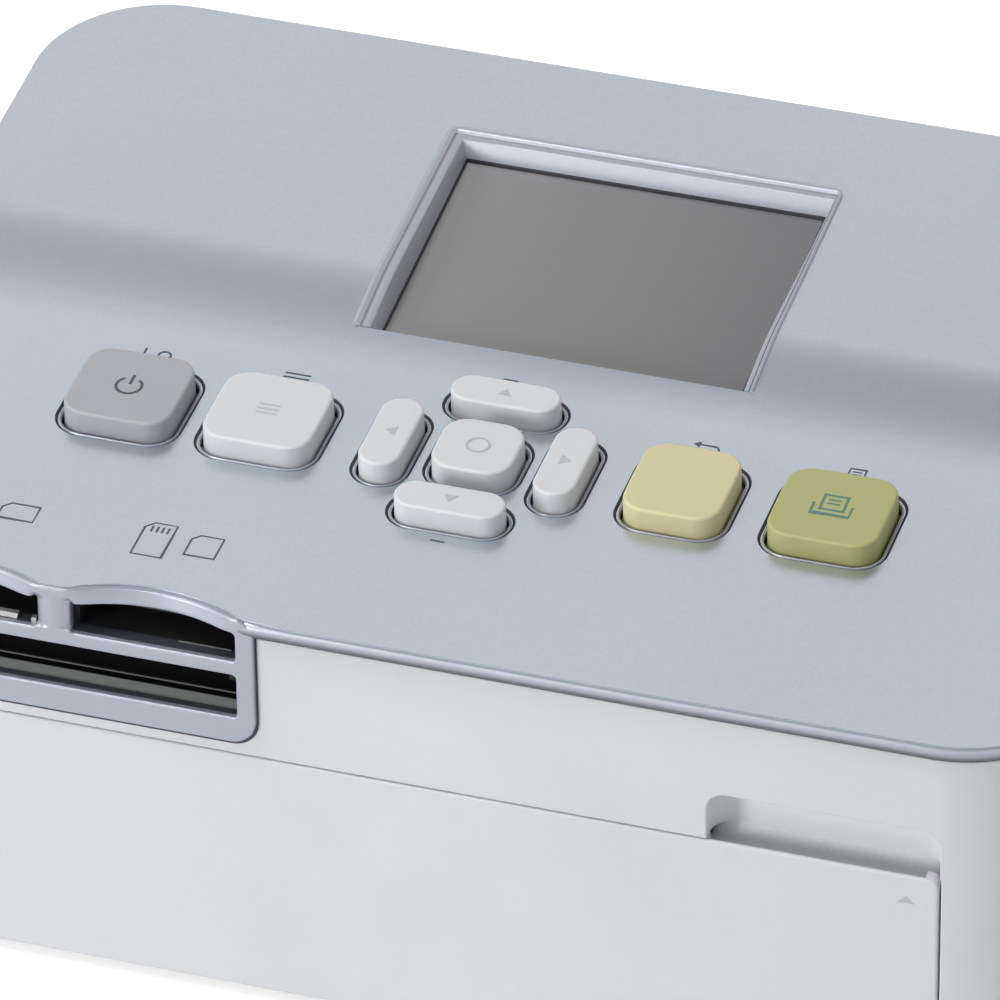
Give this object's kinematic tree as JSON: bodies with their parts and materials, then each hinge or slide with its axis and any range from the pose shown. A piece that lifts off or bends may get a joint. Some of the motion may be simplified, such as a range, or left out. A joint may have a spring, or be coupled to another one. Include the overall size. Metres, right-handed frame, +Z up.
{
  "type": "compact photo printer",
  "caption": "Desktop photo printer with a sloped key panel, recessed display, arched card slots, fold-down front door and side ink cassette.",
  "frame": {"origin": "middle of the footprint, on the surface the feet stand on", "axes": "X along the width, to the right as seen from the front; Y to the back; Z up"},
  "size_m": [0.1774, 0.1254, 0.0729],
  "materials": {
    "white_shell": "satin white moulded plastic",
    "base_plastic": "fine-grained light grey plastic",
    "silver_panel": "satin silver-blue metallic paint",
    "bead_silver": "satin lavender silver",
    "frame_silver": "smooth satin silver",
    "display_glass": "smooth dark window over an unlit display",
    "black_plastic": "fine matt black",
    "lcd_can": "dark moulded frame",
    "board_green": "lacquered circuit board",
    "mat_rubber": "soft silicone mat",
    "socket_steel": "tinned steel shell",
    "sheet_steel": "zinc-plated sheet steel",
    "bush_brass": "sintered bronze bushes",
    "motor_can": "plated steel motor case",
    "foot_rubber": "grey rubber pads",
    "screw_steel": "zinc-plated screws",
    "cassette_grey": "matt slate plastic",
    "ink_film": "glossy coated film",
    "spool_white": "matt off-white plastic",
    "head_alu": "extruded aluminium heat sink",
    "roller_rubber": "ground rubber on a steel shaft",
    "grip_steel": "knurled steel",
    "gear_ivory": "ivory acetal gears",
    "key_grey": "satin grey key",
    "key_white": "satin off-white keys",
    "key_yellow": "satin pale yellow key",
    "key_olive": "satin olive green key"
  },
  "bodies": {
    "housing": {"base_tray": "base_plastic", "body_shell": "white_shell", "front_frame": "base_plastic", "top_panel": "silver_panel", "trim_bead": "bead_silver", "card_bezel": "bead_silver", "display_frame": "frame_silver", "display_glass": "display_glass", "display_gasket": "black_plastic", "lcd_module": "lcd_can", "control_board": "board_green", "keypad_mat": "mat_rubber", "card_board": "board_green", "left_card_socket": "black_plastic", "right_card_socket": "black_plastic", "lower_card_socket": "black_plastic", "main_board": "board_green", "dc_jack": "black_plastic", "usb_device_socket": "socket_steel", "usb_host_socket": "socket_steel", "chassis_left": "sheet_steel", "chassis_right": "sheet_steel", "chassis_deck": "sheet_steel", "motor_bracket": "sheet_steel", "roller_bushes": "bush_brass", "feed_motor": "motor_can", "ribbon_motor": "motor_can", "fan_housing": "black_plastic", "feet": "foot_rubber", "case_screws": "screw_steel", "chassis_screws": "screw_steel"},
    "front_door": {"front_door": "white_shell"},
    "ink_door": {"ink_door": "white_shell"},
    "ink_cassette": {"ink_cassette": "cassette_grey", "ribbon_film": "ink_film"},
    "supply_spool": {"supply_spool": "spool_white"},
    "takeup_spool": {"takeup_spool": "spool_white"},
    "print_head": {"head_arm": "sheet_steel", "thermal_head": "head_alu"},
    "platen_roller": {"platen_roller": "roller_rubber"},
    "grip_roller": {"grip_roller": "grip_steel"},
    "pinch_roller": {"pinch_roller": "roller_rubber"},
    "pickup_roller": {"pickup_roller": "roller_rubber"},
    "feed_pinion": {"feed_pinion": "bush_brass"},
    "grip_idler": {"grip_idler": "gear_ivory"},
    "front_idler": {"front_idler": "gear_ivory"},
    "pickup_idler": {"pickup_idler": "gear_ivory"},
    "ribbon_pinion": {"ribbon_pinion": "bush_brass"},
    "ribbon_gear": {"ribbon_gear": "gear_ivory"},
    "fan_rotor": {"fan_rotor": "black_plastic"},
    "key_power": {"key_power": "key_grey"},
    "key_menu": {"key_menu": "key_white"},
    "key_left": {"key_left": "key_white"},
    "key_right": {"key_right": "key_white"},
    "key_up": {"key_up": "key_white"},
    "key_down": {"key_down": "key_white"},
    "key_ok": {"key_ok": "key_white"},
    "key_back": {"key_back": "key_yellow"},
    "key_print": {"key_print": "key_olive"}
  },
  "joints": [
    {"name": "front_door_hinge", "type": "hinge", "parent": "housing", "child": "front_door", "pos_m": [0, -0.0584, 0.0051], "axis": [1, 0, 0], "range_deg": [0, 90]},
    {"name": "ink_door_hinge", "type": "hinge", "parent": "housing", "child": "ink_door", "pos_m": [0.087, 0.0135, 0.0236], "axis": [0, 1, 0], "range_deg": [0, 90]},
    {"name": "cassette_slide", "type": "slide", "parent": "housing", "child": "ink_cassette", "axis": [1, 0, 0], "range_m": [0, 0.0035]},
    {"name": "supply_spool_spin", "type": "hinge", "parent": "ink_cassette", "child": "supply_spool", "pos_m": [0, 0.033, 0.0398], "axis": [1, 0, 0], "continuous": true},
    {"name": "takeup_spool_spin", "type": "hinge", "parent": "ink_cassette", "child": "takeup_spool", "pos_m": [0, -0.003, 0.0398], "axis": [1, 0, 0], "continuous": true},
    {"name": "head_lift", "type": "hinge", "parent": "housing", "child": "print_head", "pos_m": [0, 0.052, 0.0505], "axis": [1, 0, 0], "range_deg": [0, 10]},
    {"name": "platen_spin", "type": "hinge", "parent": "housing", "child": "platen_roller", "pos_m": [0, 0.0155, 0.024], "axis": [1, 0, 0], "continuous": true},
    {"name": "grip_spin", "type": "hinge", "parent": "housing", "child": "grip_roller", "pos_m": [0, 0.047, 0.024], "axis": [1, 0, 0], "continuous": true},
    {"name": "pinch_spin", "type": "hinge", "parent": "housing", "child": "pinch_roller", "pos_m": [0, 0.047, 0.0344], "axis": [1, 0, 0], "continuous": true},
    {"name": "pickup_spin", "type": "hinge", "parent": "housing", "child": "pickup_roller", "pos_m": [0, -0.01539, 0.02737], "axis": [1, 0, 0], "continuous": true},
    {"name": "feed_pinion_spin", "type": "hinge", "parent": "housing", "child": "feed_pinion", "pos_m": [-0.066, 0.02391, 0.02656], "axis": [1, 0, 0], "continuous": true},
    {"name": "grip_idler_spin", "type": "hinge", "parent": "housing", "child": "grip_idler", "pos_m": [-0.066, 0.03296, 0.03178], "axis": [1, 0, 0], "continuous": true},
    {"name": "front_idler_spin", "type": "hinge", "parent": "housing", "child": "front_idler", "pos_m": [-0.066, 0.01608, 0.01537], "axis": [1, 0, 0], "continuous": true},
    {"name": "pickup_idler_spin", "type": "hinge", "parent": "housing", "child": "pickup_idler", "pos_m": [-0.066, -0.00309, 0.01705], "axis": [1, 0, 0], "continuous": true},
    {"name": "ribbon_pinion_spin", "type": "hinge", "parent": "housing", "child": "ribbon_pinion", "pos_m": [-0.07, -0.01205, 0.04503], "axis": [1, 0, 0], "continuous": true},
    {"name": "ribbon_gear_spin", "type": "hinge", "parent": "housing", "child": "ribbon_gear", "pos_m": [-0.07, -0.003, 0.0398], "axis": [1, 0, 0], "continuous": true},
    {"name": "fan_spin", "type": "hinge", "parent": "housing", "child": "fan_rotor", "pos_m": [0.08, -0.033, 0.03], "axis": [1, 0, 0], "continuous": true},
    {"name": "key_power_press", "type": "slide", "parent": "housing", "child": "key_power", "axis": [0, 0.0461, -0.9989], "range_m": [0, 0.0008], "stiffness_N_per_m": 400, "springref_m": -0.0006},
    {"name": "key_menu_press", "type": "slide", "parent": "housing", "child": "key_menu", "axis": [0, 0.0461, -0.9989], "range_m": [0, 0.0008], "stiffness_N_per_m": 400, "springref_m": -0.0006},
    {"name": "key_left_press", "type": "slide", "parent": "housing", "child": "key_left", "axis": [0, 0.0461, -0.9989], "range_m": [0, 0.0008], "stiffness_N_per_m": 400, "springref_m": -0.0006},
    {"name": "key_right_press", "type": "slide", "parent": "housing", "child": "key_right", "axis": [0, 0.0461, -0.9989], "range_m": [0, 0.0008], "stiffness_N_per_m": 400, "springref_m": -0.0006},
    {"name": "key_up_press", "type": "slide", "parent": "housing", "child": "key_up", "axis": [0, 0.0461, -0.9989], "range_m": [0, 0.0008], "stiffness_N_per_m": 400, "springref_m": -0.0006},
    {"name": "key_down_press", "type": "slide", "parent": "housing", "child": "key_down", "axis": [0, 0.0461, -0.9989], "range_m": [0, 0.0008], "stiffness_N_per_m": 400, "springref_m": -0.0006},
    {"name": "key_ok_press", "type": "slide", "parent": "housing", "child": "key_ok", "axis": [0, 0.0461, -0.9989], "range_m": [0, 0.0008], "stiffness_N_per_m": 400, "springref_m": -0.0006},
    {"name": "key_back_press", "type": "slide", "parent": "housing", "child": "key_back", "axis": [0, 0.0461, -0.9989], "range_m": [0, 0.0008], "stiffness_N_per_m": 400, "springref_m": -0.0006},
    {"name": "key_print_press", "type": "slide", "parent": "housing", "child": "key_print", "axis": [0, 0.0461, -0.9989], "range_m": [0, 0.0008], "stiffness_N_per_m": 400, "springref_m": -0.0006}
  ],
  "couplings": [
    {"joint": "grip_spin", "follows": "feed_pinion_spin", "ratio": 0.41667},
    {"joint": "grip_idler_spin", "follows": "feed_pinion_spin", "ratio": -0.625},
    {"joint": "front_idler_spin", "follows": "feed_pinion_spin", "ratio": -0.41667},
    {"joint": "pickup_idler_spin", "follows": "feed_pinion_spin", "ratio": 0.41667},
    {"joint": "pickup_spin", "follows": "feed_pinion_spin", "ratio": -0.625},
    {"joint": "ribbon_gear_spin", "follows": "ribbon_pinion_spin", "ratio": -0.625},
    {"joint": "takeup_spool_spin", "follows": "ribbon_pinion_spin", "ratio": -0.625}
  ]
}
